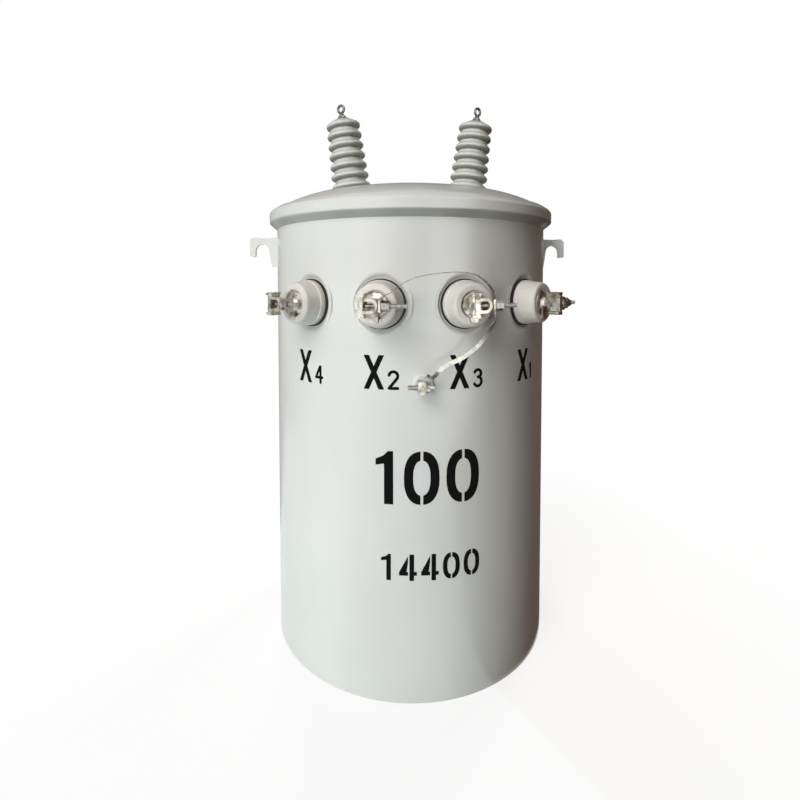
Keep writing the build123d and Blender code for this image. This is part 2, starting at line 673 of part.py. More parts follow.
# strap from the X3 clamp bolt down to the ground connector, turned flat and back on its way
strap = strip(
    [
        beside(x3, strap_tab, lv_z - tab_h), falling(x3 + 4.0, 0.16, 0.85, 45), falling(x3 + 4.4, 0.27, 0.5, 90),
        falling(x3 + 3.4, 0.4, 0.22, 90), falling(x3 - 0.5, 0.57, 0.08, 90), falling(x3 - 5.6, 0.69, 0, 90),
        falling(4.4, 0.79, 0, 85), falling(1.2, 0.87, 0, 45), (0, ground_u, ground_z + tab_h, 0),
    ],
    [(clamp_axis("x3", strap_tab), clamp_bolt_r, tab_in), (ground_axis, ground_bolt_r, -tab_in)],
)
save(strap, "ground_strap")

# ================= lifting lugs =================
# Flat hook plates on edge, welded at both sides of the tank, open downward for the sling.
hook_s = tank_r + lug_out - tip_w - hook_r
hook_z = lug_top - hook_cover - hook_r
lug_tip = tank_r + lug_out
for name, side in sides.items():
    with BuildPart() as lifting_lug:
        with BuildSketch(Plane(origin=(0, 0, 0), x_dir=(side, 0, 0), z_dir=(0, -side, 0))):
            with BuildLine():
                ThreePointArc(
                    (tank_r - wall, lug_top), (tank_r + lug_out / 2, lug_top - lug_dip), (lug_tip, lug_top)
                )
                Polyline(
                    (lug_tip, lug_top), (lug_tip, lug_top - tip_h), (hook_s + hook_r, lug_top - tip_h),
                    (hook_s + hook_r, hook_z),
                )
                ThreePointArc((hook_s + hook_r, hook_z), (hook_s, hook_z + hook_r), (hook_s - hook_r, hook_z))
                Polyline(
                    (hook_s - hook_r, hook_z), (tank_r + root_w, lug_top - lug_h),
                    (tank_r - wall, lug_top - lug_h), (tank_r - wall, lug_top),
                )
            make_face()
            corners = vertices().filter_by_position(Axis.X, hook_s, 2 * lug_tip).sort_by(Axis.Y)
            fillet(corners[-1], tip_w - 2)
            fillet(vertices().filter_by_position(Axis.Y, lug_top - tip_h - 1, lug_top - tip_h + 1), tip_round)
        extrude(amount=lug_t / 2, both=True)
        with BuildSketch(Plane.XY.offset(lug_top - lug_h - 5)):
            Circle(tank_r)
        extrude(amount=lug_h + 10, mode=Mode.SUBTRACT)
    save(lifting_lug.part, "lifting_lug_" + name)

# ================= hanger brackets =================
# Pressed channel welded to the back of the tank, with an upright slot for the pole bolt.
for name, step in (("lower", -0.5), ("upper", 0.5)):
    z = hanger_mid_z + step * hanger_spacing
    with BuildPart() as hanger_bracket:
        with BuildSketch(Plane.XY.offset(z - hanger_h / 2)):
            with BuildLine():
                Polyline(
                    (-hanger_w / 2, tank_r - hanger_t), (-hanger_w / 2, tank_r + hanger_out),
                    (hanger_w / 2, tank_r + hanger_out), (hanger_w / 2, tank_r - hanger_t),
                    (hanger_w / 2 - hanger_t, tank_r - hanger_t), (hanger_w / 2 - hanger_t, tank_r + hanger_out - hanger_t),
                    (-hanger_w / 2 + hanger_t, tank_r + hanger_out - hanger_t),
                    (-hanger_w / 2 + hanger_t, tank_r - hanger_t), close=True,
                )
            make_face()
        extrude(amount=hanger_h)
        fillet(hanger_bracket.edges().filter_by(Axis.Z).group_by(Axis.Y)[-1], hanger_round)
        with BuildSketch(Plane.XY.offset(z - hanger_h / 2 - 1)):
            Circle(tank_r)
        extrude(amount=hanger_h + 2, mode=Mode.SUBTRACT)
        with BuildSketch(Plane(origin=(0, tank_r + hanger_out + 1, z), x_dir=(-1, 0, 0), z_dir=(0, 1, 0))):
            SlotOverall(slot_len, 2 * slot_r, rotation=90)
        extrude(amount=-hanger_t - 2, mode=Mode.SUBTRACT)
    save(hanger_bracket.part, "hanger_bracket_" + name)

# ================= sealed inside =================
# Stands in for the wound core, its frame and the oil, all shut in for good.
with BuildPart() as core_and_oil:
    with BuildSketch(Plane.XY.offset(skirt_h + bottom_t)):
        Circle(tank_r - wall - core_room)
    extrude(amount=rim_z - core_top_room - skirt_h - bottom_t)
save(core_and_oil.part, "core_and_oil")
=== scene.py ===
from math import atan2, cos, pi, radians, sin, sqrt

import bmesh
import bpy
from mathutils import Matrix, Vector


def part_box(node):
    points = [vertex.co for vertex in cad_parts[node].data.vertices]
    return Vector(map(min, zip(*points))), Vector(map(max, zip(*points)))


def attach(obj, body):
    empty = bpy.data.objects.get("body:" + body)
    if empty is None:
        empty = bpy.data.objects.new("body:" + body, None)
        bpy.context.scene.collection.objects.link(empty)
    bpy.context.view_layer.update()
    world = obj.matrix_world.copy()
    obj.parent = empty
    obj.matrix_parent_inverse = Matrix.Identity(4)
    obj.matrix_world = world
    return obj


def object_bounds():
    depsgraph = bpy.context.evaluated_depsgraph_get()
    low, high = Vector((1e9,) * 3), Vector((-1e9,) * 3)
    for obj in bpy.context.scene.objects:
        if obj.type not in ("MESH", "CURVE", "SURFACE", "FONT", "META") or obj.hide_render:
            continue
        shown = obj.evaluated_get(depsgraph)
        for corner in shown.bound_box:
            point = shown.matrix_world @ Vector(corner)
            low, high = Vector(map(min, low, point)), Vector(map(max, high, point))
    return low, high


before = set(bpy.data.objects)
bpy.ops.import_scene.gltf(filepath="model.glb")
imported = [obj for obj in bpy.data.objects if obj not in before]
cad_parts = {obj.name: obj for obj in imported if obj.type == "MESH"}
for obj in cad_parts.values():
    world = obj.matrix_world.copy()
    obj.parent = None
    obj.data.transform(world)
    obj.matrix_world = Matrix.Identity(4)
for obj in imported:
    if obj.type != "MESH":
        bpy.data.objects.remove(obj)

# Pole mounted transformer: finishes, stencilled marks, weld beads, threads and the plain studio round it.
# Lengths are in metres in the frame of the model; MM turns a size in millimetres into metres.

MM = 0.001
CAD_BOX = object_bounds()

# ---- places on the transformer, read from the frame where it gives them ----
WALL = 3 * MM                      # thickness of the tank wall
TANK_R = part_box("tank_bottom")[1].x + WALL
BOTTOM_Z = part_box("tank_bottom")[0].z
LV_STEP = 29.0                     # degrees between neighbouring low-voltage bushings
LV_ANGLE = {"x4": -1.5 * LV_STEP, "x2": -0.5 * LV_STEP, "x3": 0.5 * LV_STEP, "x1": 1.5 * LV_STEP}


def middle(name):
    """Middle of a node's box."""
    low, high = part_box(name)
    return (low + high) / 2


LV_Z = middle("lv_gasket_x2").z
HV_LEAN = radians(7.5)             # the high-voltage bushings lean outward
HV_AXIS = Vector((sin(HV_LEAN), 0, cos(HV_LEAN)))
HV_SEAT = Vector((133 * MM, 0, 963 * MM))              # foot of the right bushing on the cover
SHED_PITCH = 23 * MM
GROUND_Z = middle("ground_boss").z
BAND_CORNER_Z = 887 * MM           # lower outer corner of the clamping band


# ================= small helpers =================

def linear(code):
    """An sRGB hex colour as linear red, green, blue and alpha."""
    parts = [int(code[i:i + 2], 16) / 255 for i in (1, 3, 5)]
    return tuple(c / 12.92 if c <= 0.04045 else ((c + 0.055) / 1.055) ** 2.4 for c in parts) + (1.0,)


def add(tree, kind, inputs=None, stops=(), **settings):
    """Adds a node with its settings; inputs are values or sockets to link from, and stops fill a ramp."""
    made = tree.nodes.new(kind)
    for name, value in settings.items():
        setattr(made, name, value)
    for name, value in (inputs or {}).items():
        if isinstance(value, bpy.types.NodeSocket):
            tree.links.new(value, made.inputs[name])
        else:
            made.inputs[name].default_value = value
    if stops:
        points = made.color_ramp.elements
        while len(points) < len(stops):
            points.new(0.5)
        for point, (place, code) in zip(points, stops):
            point.position = place
            point.color = linear(code)
    return made


def blank_material(name):
    """A material with its surface shader, ready for the rest of its nodes."""
    made = bpy.data.materials.new(name)
    made.use_nodes = True
    return made, made.node_tree, made.node_tree.nodes["Principled BSDF"]


def grain(tree, size_mm, stretch=(1, 1, 1), detail=3.0, roughness=0.5):
    """Noise whose blotches are about size_mm across, longer along an axis where stretch is above 1."""
    place = add(tree, "ShaderNodeTexCoord").outputs["Object"]
    scale = [1 / (size_mm * MM * share) for share in stretch]
    scaled = add(tree, "ShaderNodeMapping", {"Vector": place, "Scale": scale})
    noise = add(
        tree, "ShaderNodeTexNoise",
        {"Vector": scaled.outputs["Vector"], "Scale": 1.0, "Detail": detail, "Roughness": roughness},
    )
    return noise.outputs["Fac"]


NOISE_LOW, NOISE_HIGH = 0.3, 0.7       # nearly all of a noise lies between these


def roughen(tree, shader, pattern, low, high):
    """Lets a pattern give a surface its roughness: low where the pattern is low, high where it is high."""
    rough = add(
        tree, "ShaderNodeMapRange",
        {"Value": pattern, "From Min": NOISE_LOW, "From Max": NOISE_HIGH, "To Min": low, "To Max": high},
    )
    tree.links.new(rough.outputs["Result"], shader.inputs["Roughness"])


def mottle(tree, shader, pattern, stops, low, high):
    """Lets one pattern give a surface both its colours and its roughness, so that stains change its shine."""
    colour = add(tree, "ShaderNodeValToRGB", {"Fac": pattern}, stops=stops)
    tree.links.new(colour.outputs["Color"], shader.inputs["Base Color"])
    roughen(tree, shader, pattern, low, high)


def relief(tree, shader, *layers):
    """Stacks bumps on a shader: each layer is a height factor and its depth in millimetres."""
    below = None
    for factor, depth_mm in layers:
        inputs = {"Height": factor, "Distance": depth_mm * MM, "Strength": 1.0}
        if below:
            inputs["Normal"] = below
        below = add(tree, "ShaderNodeBump", inputs).outputs["Normal"]
    tree.links.new(below, shader.inputs["Normal"])


# ================= materials =================

def light_grey_alkyd_enamel():
    """Alkyd enamel sprayed on rolled steel: pale and glossy, with orange peel and the sheet's soft waves."""
    made, tree, shader = blank_material("light_grey_alkyd_enamel")
    cloud = grain(tree, 160, (1, 1, 2.2), detail=2.0)          # passes of the spray gun
    colour = add(tree, "ShaderNodeValToRGB", {"Fac": cloud}, stops=[(0.3, "#CFD0CD"), (0.7, "#D7D8D5")])
    tree.links.new(colour.outputs["Color"], shader.inputs["Base Color"])
    enamel_gloss(tree, shader)
    return made


def band_enamel_with_painted_shade():
    """The same enamel on the clamping band, with painted shade greying the sloping leg below its lower
    corner.
    """
    made, tree, shader = blank_material("band_enamel_with_painted_shade")
    shade_edge_wobble = grain(tree, 14, (3, 3, 1))                        # wobble of the painted shade's edge, in patches 42 mm long round the band
    ragged_shade_edge = add(tree, "ShaderNodeMath", {0: shade_edge_wobble, 1: 2.5 * MM}, operation="MULTIPLY").outputs["Value"]
    place = add(tree, "ShaderNodeTexCoord").outputs["Object"]
    height = add(tree, "ShaderNodeSeparateXYZ", {"Vector": place}).outputs["Z"]
    height = add(tree, "ShaderNodeMath", {0: height, 1: ragged_shade_edge}, operation="ADD").outputs["Value"]
    # painted shade: the enamel turns darker below the band's lower corner, over the sloping leg
    out_of_shade = add(
        tree, "ShaderNodeMapRange",
        {"Value": height, "From Min": BAND_CORNER_Z - 2 * MM, "From Max": BAND_CORNER_Z + 4 * MM},
    ).outputs["Result"]
    colour = add(tree, "ShaderNodeValToRGB", {"Fac": out_of_shade}, stops=[(0.0, "#ABACA7"), (1.0, "#D3D4D1")])
    tree.links.new(colour.outputs["Color"], shader.inputs["Base Color"])
    enamel_gloss(tree, shader)
    return made


def enamel_gloss(tree, shader):
    """Gloss of sprayed enamel: reflections bend over the sheet's waves and blur in the orange peel."""
    haze = grain(tree, 120, (1, 1, 3), detail=0.0)
    roughen(tree, shader, haze, 0.15, 0.21)
    shader.inputs["IOR"].default_value = 1.5
    waves = grain(tree, 60, (1, 1, 6), detail=0.0)             # a hand's breadth round, long upward
    peel = grain(tree, 3.2, detail=1.0)                        # real orange peel is 2 to 4 mm
    relief(tree, shader, (waves, 0.3), (peel, 0.02))


def grey_glazed_porcelain():
    """Wet-process porcelain under a shiny pale grey glaze, with painted shade under its sheds and painted
    highlights on their lips.
    """
    made, tree, shader = blank_material("grey_glazed_porcelain")
    fleck = grain(tree, 1.1, detail=1.0)       # specks of iron are 0.3 mm, drawn coarser so that they show
    cloud = grain(tree, 22, detail=2.0)        # the glaze runs thick and thin
    # distance along the leaning bushing from its seat, the same on both sides of the cover
    place = add(tree, "ShaderNodeTexCoord").outputs["Object"]
    folded = add(tree, "ShaderNodeVectorMath", {0: place}, operation="ABSOLUTE").outputs["Vector"]
    from_seat = add(
        tree, "ShaderNodeVectorMath", {0: folded, 1: HV_SEAT}, operation="SUBTRACT"
    ).outputs["Vector"]
    along = add(
        tree, "ShaderNodeVectorMath", {0: from_seat, 1: HV_AXIS}, operation="DOT_PRODUCT"
    ).outputs["Value"]
    wander = add(tree, "ShaderNodeMath", {0: cloud, 1: 1.6 * MM}, operation="MULTIPLY").outputs["Value"]
    along = add(tree, "ShaderNodeMath", {0: along, 1: wander}, operation="ADD").outputs["Value"]
    turns = add(tree, "ShaderNodeMath", {0: along, 1: SHED_PITCH}, operation="DIVIDE").outputs["Value"]
    share = add(tree, "ShaderNodeMath", {0: turns}, operation="FRACT").outputs["Value"]
    # one pitch from the seat up: shed tip, upper side, then painted shade in the hollow and under the next
    # shed, and a painted highlight on its lip
    painted_shade_and_highlight = add(tree, "ShaderNodeValToRGB", {"Fac": share}, stops=[
        (0.0, "#D0D2CE"), (0.28, "#DBDDD9"), (0.38, "#82847F"),
        (0.6, "#9A9C97"), (0.76, "#E2E3DE"), (1.0, "#D0D2CE"),
    ]).outputs["Color"]
    speck = add(
        tree, "ShaderNodeValToRGB", {"Fac": fleck}, stops=[(0.35, "#E4E4E0"), (0.6, "#FFFFFF")]
    ).outputs["Color"]
    # inputs 6 and 7 and output 2 of this node are its colours
    colour = add(
        tree, "ShaderNodeMix", {"Factor": 1.0, 6: painted_shade_and_highlight, 7: speck}, data_type="RGBA", blend_type="MULTIPLY"
    ).outputs[2]
    tree.links.new(colour, shader.inputs["Base Color"])
    roughen(tree, shader, cloud, 0.16, 0.26)
    shader.inputs["IOR"].default_value = 1.53
    relief(tree, shader, (grain(tree, 9, detail=1.0), 0.12), (fleck, 0.012))
    return made


def satin_glazed_porcelain():
    """Turned porcelain of the low-voltage bushings under a satin glaze: pale, even and softly shining."""
    made, tree, shader = blank_material("satin_glazed_porcelain")
    cloud = grain(tree, 30, detail=2.0)        # thick and thin glaze, about a third of the body
    mottle(tree, shader, cloud, [(0.3, "#D1CEC6"), (0.7, "#DBD8D0")], 0.3, 0.42)
    shader.inputs["IOR"].default_value = 1.52
    relief(tree, shader, (grain(tree, 12, detail=1.0), 0.1))
    return made


def black_nitrile_rubber():
    """Cork-filled nitrile sheet, die cut: dull and near black with fine grit."""
    made, tree, shader = blank_material("black_nitrile_rubber")
    grit = grain(tree, 0.8, detail=2.0)        # cork granules
    mottle(tree, shader, grit, [(0.35, "#131412"), (0.7, "#23241F")], 0.6, 0.8)
    shader.inputs["IOR"].default_value = 1.52
    relief(tree, shader, (grit, 0.08))
    return made


def tinned_bronze_casting():
    """Sand-cast bronze dipped in tin: silvery, finely pitted, warmer and duller where the tin is thin."""
    made, tree, shader = blank_material("tinned_bronze_casting")
    tarnish = grain(tree, 13, detail=2.0)      # patches about as wide as the loop's bar
    mottle(tree, shader, tarnish, [(0.34, "#857D6D"), (0.48, "#C4C0B4"), (0.64, "#ECE9E1")], 0.42, 0.24)
    shader.inputs["Metallic"].default_value = 0.95
    sand = grain(tree, 1.1, detail=2.0)        # moulding sand is 0.2 mm, drawn coarser so that it shows
    relief(tree, shader, (sand, 0.07))
    return made


def weathered_bronze():
    """Forged bronze eye left bare: grey-brown from the weather, and brighter where the wire has rubbed."""
    made, tree, shader = blank_material("weathered_bronze")
    tarnish = grain(tree, 5, detail=4.0)       # spots about as wide as the ring's wire
    mottle(tree, shader, tarnish, [(0.35, "#54514B"), (0.55, "#8E8B83"), (0.72, "#C4C1B9")], 0.46, 0.3)
    shader.inputs["Metallic"].default_value = 1.0
    pits = grain(tree, 0.9, detail=2.0)        # pits of 0.2 mm, drawn coarser so that they show
    relief(tree, shader, (pits, 0.05))
    return made


def zinc_plated_steel():
    """Turned steel with a clear zinc plate: cool, smooth, faintly clouded."""
    made, tree, shader = blank_material("zinc_plated_steel")
    cloud = grain(tree, 6, detail=3.0)         # bloom of the chromate, a few millimetres across
    mottle(tree, shader, cloud, [(0.32, "#8C8A84"), (0.55, "#B4B3AD"), (0.7, "#C8C7C2")], 0.26, 0.38)
    shader.inputs["Metallic"].default_value = 1.0
    turning = grain(tree, 1.0, detail=1.0)     # tool marks of 0.1 mm, drawn coarser so that they show
    relief(tree, shader, (turning, 0.02))
    return made


def tinned_copper_strip():
    """Cold-rolled copper strip with a bright tin coat, lightly creased by hand bending."""
    made, tree, shader = blank_material("tinned_copper_strip")
    cloud = grain(tree, 9, detail=3.0)         # about the width of the strip
    mottle(tree, shader, cloud, [(0.3, "#A9A69C"), (0.55, "#C2C0B8"), (0.72, "#D2D0CA")], 0.38, 0.26)
    shader.inputs["Metallic"].default_value = 0.85
    creases = grain(tree, 4, detail=2.0)       # half the strip's width
    relief(tree, shader, (creases, 0.12))
    return made


def dull_copper_strip():
    """The same strip where its tin has weathered: grey-brown and half matt."""
    made, tree, shader = blank_material("dull_copper_strip")
    cloud = grain(tree, 6, detail=3.0)         # a little less than the strip's width
    mottle(tree, shader, cloud, [(0.3, "#5F5A50"), (0.55, "#8A857A"), (0.72, "#A5A196")], 0.55, 0.4)
    shader.inputs["Metallic"].default_value = 0.7
    creases = grain(tree, 4, detail=2.0)       # half the strip's width
    relief(tree, shader, (creases, 0.1))
    return made


def black_stencil_paint():
    """Flat black paint sprayed through a cut stencil: porous, so it hardly mirrors, and a little dusty."""
    made, tree, shader = blank_material("black_stencil_paint")
    dust = grain(tree, 4, detail=3.0)          # dry spatter of the spray can
    mottle(tree, shader, dust, [(0.35, "#020303"), (0.7, "#0C0D0C")], 0.66, 0.82)
    shader.inputs["IOR"].default_value = 1.2
    peel = grain(tree, 3.2, detail=1.0)        # the enamel's orange peel under the film
    relief(tree, shader, (peel, 0.03))
    return made


def core_steel():
    """Varnished core and tank oil, shut in for good and never seen."""
    made, tree, shader = blank_material("core_steel")
    cloud = grain(tree, 40)                    # about a coil's width
    mottle(tree, shader, cloud, [(0.3, "#3A342C"), (0.7, "#4A4338")], 0.4, 0.6)
    return made


ENAMEL = light_grey_alkyd_enamel()
BAND_ENAMEL = band_enamel_with_painted_shade()
PORCELAIN = grey_glazed_porcelain()
SATIN_PORCELAIN = satin_glazed_porcelain()
RUBBER = black_nitrile_rubber()
CASTING = tinned_bronze_casting()
BRONZE = weathered_bronze()
ZINC = zinc_plated_steel()
STRIP = tinned_copper_strip()
DULL_STRIP = dull_copper_strip()
STENCIL = black_stencil_paint()
CORE = core_steel()

# the first start that fits a node's name gives its finish; gaskets are rubber, and all the rest is enamel
FINISH_BY_NAME = (
    ("hv_bushing", PORCELAIN), ("lv_bushing", SATIN_PORCELAIN),
    ("hv_terminal", BRONZE), ("lv_terminal", CASTING),
    ("lv_clamp_bolt", ZINC), ("lv_clamp", CASTING), ("ground_bolt", ZINC), ("cover_band_bolt", ZINC),
    ("cover_band", BAND_ENAMEL), ("ground_connector", CASTING), ("neutral_link", DULL_STRIP),
    ("ground_strap", STRIP), ("core_and_oil", CORE),
)


def finish_for(name):
    """Material of a node of the frame, by its name."""
    if "gasket" in name:
        return RUBBER
    for start, material in FINISH_BY_NAME:
        if name.startswith(start):
            return material
    return ENAMEL


for name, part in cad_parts.items():
    part.data.materials.clear()
    part.data.materials.append(finish_for(name))


# ================= pieces added to the frame =================

def piece(name, mesh_data, material, smooth=True):
    """A finished mesh as a piece that rides with the transformer."""
    mesh_data.materials.append(material)
    for face in mesh_data.polygons:
        face.use_smooth = smooth
    made = bpy.data.objects.new(name, mesh_data)
    bpy.context.scene.collection.objects.link(made)
    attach(made, "root")
    return made


def to_mesh(name, shape):
    """A bmesh as mesh data, with its faces turned outward."""
    bmesh.ops.recalc_face_normals(shape, faces=shape.faces)
    made = bpy.data.meshes.new(name)
    shape.to_mesh(made)
    shape.free()
    return made


def on_tank(along, z, out=0.0):
    """Point on the tank wall at an arc length along it from the middle of the front."""
    a = along / TANK_R
    return Vector((sin(a), -cos(a), 0)) * (TANK_R + out) + Vector((0, 0, z))


# ---- stencilled marks ----
# Outlines are in millimetres: x to the right and y up from the middle of each sign.
PAINT = 0.22 * MM                  # the film, thicker than real paint so that it clears the wall's facets
WRAP_STEP = 4.0                    # a sign is cut in strips this wide, so that it follows the wall


def stroke(points, width):
    """Outline of a brush stroke of even width through some points, with round ends."""
    left, right = [], []
    for i, point in enumerate(points):
        before, after = points[max(i - 1, 0)], points[min(i + 1, len(points) - 1)]
        run = Vector((after[0] - before[0], after[1] - before[1])).normalized()
        side = Vector((-run.y, run.x)) * width / 2
        left.append(Vector(point) + side)
        right.append(Vector(point) - side)

    def cap(centre, start, steps=5):
        """Half round over one end, from the point where a side ends."""
        first = atan2(start.y - centre[1], start.x - centre[0])
        turns = [first - pi * k / steps for k in range(1, steps)]
        return [Vector((centre[0] + cos(t) * width / 2, centre[1] + sin(t) * width / 2)) for t in turns]

    return left + cap(points[-1], left[-1]) + right[::-1] + cap(points[0], right[0])


def oval_points(rx, ry, start, end, steps=14, square=2.4):
    """Points of a slightly squared oval between two angles in degrees; square is 2 for a plain ellipse."""
    def pull(share):
        """A cosine or sine pushed outward, which squares the oval."""
        return abs(share) ** (2 / square) * (1 if share >= 0 else -1)

    turns = [radians(start + (end - start) * k / steps) for k in range(steps + 1)]
    return [(rx * pull(cos(t)), ry * pull(sin(t))) for t in turns]


def stencil_zero(w, h, line, bridge):
    """Zero cut as two halves with a bridge above and below."""
    halves = []
    for side in (1, -1):
        outer = oval_points(w / 2, h / 2, -90, 90)
        inner = oval_points(w / 2 - line, h / 2 - line, 90, -90)
        keep = bridge / 2
        outline = [(max(x, keep), y) for x, y in outer] + [(max(x, keep), y) for x, y in inner]
        halves.append([(side * x, y) for x, y in outline])
    return halves


def stencil_one(w, h, line, bridge):
    """One with a slanted flag; it needs no bridge."""
    r, top, low = w / 2, h / 2, -h / 2
    return [[
        (r, top), (r - 0.55 * line, top), (r - 1.1 * line, top - 0.09 * h), (-r, top - 0.155 * h),
        (-r, top - 0.27 * h), (r - 1.05 * line, top - 0.24 * h), (r - line, top - 0.26 * h),
        (r - line, low), (r, low),
    ]]


def stencil_four(w, h, line, bridge):
    """Four cut in two: the upright with its stub, and the slant with its bar."""
    r, top, low = w / 2, h / 2, -h / 2
    right = r - 0.16 * w
    left = right - line
    bar_low, bar_high = low + 0.2 * h, low + 0.2 * h + 0.82 * line
    upright = [
        (right, top), (left, top), (left, low), (right, low),
        (right, bar_low), (r, bar_low), (r, bar_high), (right, bar_high),
    ]
    gap = left - bridge
    slant = [
        (gap, top - 0.06 * h), (gap, top - 0.32 * h), (-r + 0.42 * w, bar_high), (gap, bar_high),
        (gap, bar_low), (-r, bar_low), (-r, bar_high - 0.1 * line),
    ]
    return [upright, slant]


STENCIL_SIGNS = {"0": stencil_zero, "1": stencil_one, "4": stencil_four}


def letter_x(w, h, line):
    """Plain X of two crossed bars."""
    lean = Vector((w - line, h)).normalized()
    cut = line / lean.y / 2                     # half the bar's width, measured level
    notch = cut * lean.y / lean.x               # height of the crotch above the middle
    r, top = w / 2, h / 2
    return [[
        (-r, top), (-r + 2 * cut, top), (0, notch), (r - 2 * cut, top), (r, top), (cut, 0),
        (r, -top), (r - 2 * cut, -top), (0, -notch), (-r + 2 * cut, -top), (-r, -top), (-cut, 0),
    ]]


def bow_points(reach, rise, middle_y, first, last):
    """Points of an arc about the sign's upright axis, every 15 degrees from first to last."""
    turns = range(first, last, 15 if last > first else -15)
    return [(reach * cos(radians(t)), middle_y + rise * sin(radians(t))) for t in turns]


def small_digit(digit, w, h, line):
    """Thin hand-cut digit, 1 to 4, for the terminal numbers."""
    r, top = w / 2 - line / 2, h / 2 - line / 2
    if digit == "1":
        return [stroke([(-0.3 * r, 0.62 * top), (0.25 * r, top), (0.25 * r, -top)], line)]
    if digit == "2":
        neck = bow_points(r, r, top - r, 170, -41) + [(-r, -top)]
        return [stroke(neck, line), stroke([(-r, -top), (r, -top)], line)]
    if digit == "3":
        upper, lower = 0.46 * top, 0.56 * top
        high = bow_points(0.86 * r, upper, top - upper, 160, -86)
        low = bow_points(r, lower, -top + lower, 88, -161)
        return [stroke(high, line), stroke(low, line)]
    return [
        stroke([(0.3 * r, top), (-r, -0.35 * top)], line),
        stroke([(-r, -0.35 * top), (r, -0.35 * top)], line),
        stroke([(0.45 * r, top), (0.45 * r, -top)], line),
    ]


def sort_by_place(items, place):
    """Puts corners, edges or faces in order of place, since an extrusion lists them in no fixed order."""
    rank = {item: k for k, item in enumerate(sorted(items, key=place))}
    items.sort(key=lambda item: rank[item])


def mark(name, outlines, along_mm, z_mm):
    """Paint film on the tank wall: flat outlines wrapped round the wall and given the paint's thickness."""
    shape = bmesh.new()
    for outline in outlines:
        shape.faces.new([shape.verts.new((x, y, 0)) for x, y in outline])
    shape.normal_update()
    bmesh.ops.triangulate(shape, faces=shape.faces)
    cuts = int(max(abs(v.co.x) for v in shape.verts) / WRAP_STEP)
    for k in range(-cuts, cuts + 1):
        everything = shape.verts[:] + shape.edges[:] + shape.faces[:]
        bmesh.ops.bisect_plane(shape, geom=everything, plane_co=(k * WRAP_STEP, 0, 0), plane_no=(1, 0, 0))
    grown = bmesh.ops.extrude_face_region(shape, geom=shape.faces[:])
    raised = {item for item in grown["geom"] if isinstance(item, bmesh.types.BMVert)}
    for v in shape.verts:
        out = PAINT if v in raised else -PAINT
        v.co = on_tank((along_mm + v.co.x) * MM, (z_mm + v.co.y) * MM, out)
    sort_by_place(shape.verts, lambda v: v.co[:])
    sort_by_place(shape.edges, lambda e: (e.verts[0].co + e.verts[1].co)[:])
    sort_by_place(shape.faces, lambda f: f.calc_center_median()[:])
    return piece(name, to_mesh(name, shape), STENCIL, smooth=False)


# rating in large figures: sign, its place along the wall and its width
RATING_Z, RATING_H, RATING_LINE, RATING_BRIDGE = 412, 96, 16.5, 5
for i, (sign, along, width) in enumerate((("1", -69.5, 32), ("0", -2.5, 64), ("0", 74, 64))):
    outlines = STENCIL_SIGNS[sign](width, RATING_H, RATING_LINE, RATING_BRIDGE)
    mark(f"rating_figure_{i + 1}", outlines, along, RATING_Z)

# below it a row of smaller ones
ROW = "14400"
ROW_Z, ROW_H, ROW_LINE, ROW_BRIDGE = 250, 48, 8.2, 2.6
ROW_MIDDLE, ROW_PITCH = 12.5, 39.6
ROW_WIDTH = {"1": 18, "0": 32, "4": 32}
for i, sign in enumerate(ROW):
    outlines = STENCIL_SIGNS[sign](ROW_WIDTH[sign], ROW_H, ROW_LINE, ROW_BRIDGE)
    mark(f"row_figure_{i + 1}", outlines, ROW_MIDDLE + (i - 2) * ROW_PITCH, ROW_Z)

# terminal marks, one under each low-voltage bushing: places of the letter and of the number along the wall
X_Z, X_W, X_H, X_LINE = 600, 38, 61, 9.2
DIGIT_Z, DIGIT_W, DIGIT_H, DIGIT_LINE = 587, 21, 35, 5.4
MARK_PLACES = {"x4": (-242, -204), "x2": (-88.5, -53), "x3": (66.5, 102.5), "x1": (222, 252)}
for terminal, (x_along, digit_along) in MARK_PLACES.items():
    mark(f"mark_{terminal}_letter", letter_x(X_W, X_H, X_LINE), x_along, X_Z)
    digit = small_digit(terminal[1], DIGIT_W, DIGIT_H, DIGIT_LINE)
    mark(f"mark_{terminal}_number", digit, digit_along, DIGIT_Z)


# ---- weld beads ----
RIPPLE = 3.4 * MM                  # one ripple for each dip of the rod
SWAY = 11 * MM                     # slower swell of the welder's hand
WELD_W = 8 * MM                    # fillet welds on lugs and brackets
SMALL_WELD_W = 7 * MM              # boss, seam and bottom plate
WELD_SINK = 0.4 * MM               # a fillet's middle line stands this far off the wall
WELD_RISE = {"lug": 2.9 * MM, "bracket": 3.0 * MM, "boss": 2.4 * MM, "seam": 1.1 * MM, "bottom": 2.6 * MM}
LUG_WELD_ENDS = (3 * MM, 4 * MM)   # a lug's welds stop this far from its lower and its upper end
BRACKET_WELD_END = 2 * MM          # and a bracket's from both of its ends
BOSS_WELD_STEPS = 96
BOTTOM_WELD_STEPS = 560
BEAD_SIDES = 9


def join_rings(shape, rings, closed=False):
    """Skins a row of rings with as many corners each, and caps its two ends unless it closes on itself."""
    corners = len(rings[0])
    for one, two in zip(rings, rings[1:] + ([rings[0]] if closed else [])):
        for k in range(corners):
            m = (k + 1) % corners
            shape.faces.new((one[k], one[m], two[m], two[k]))
    if not closed:
        shape.faces.new(rings[0])
        shape.faces.new(rings[-1][::-1])


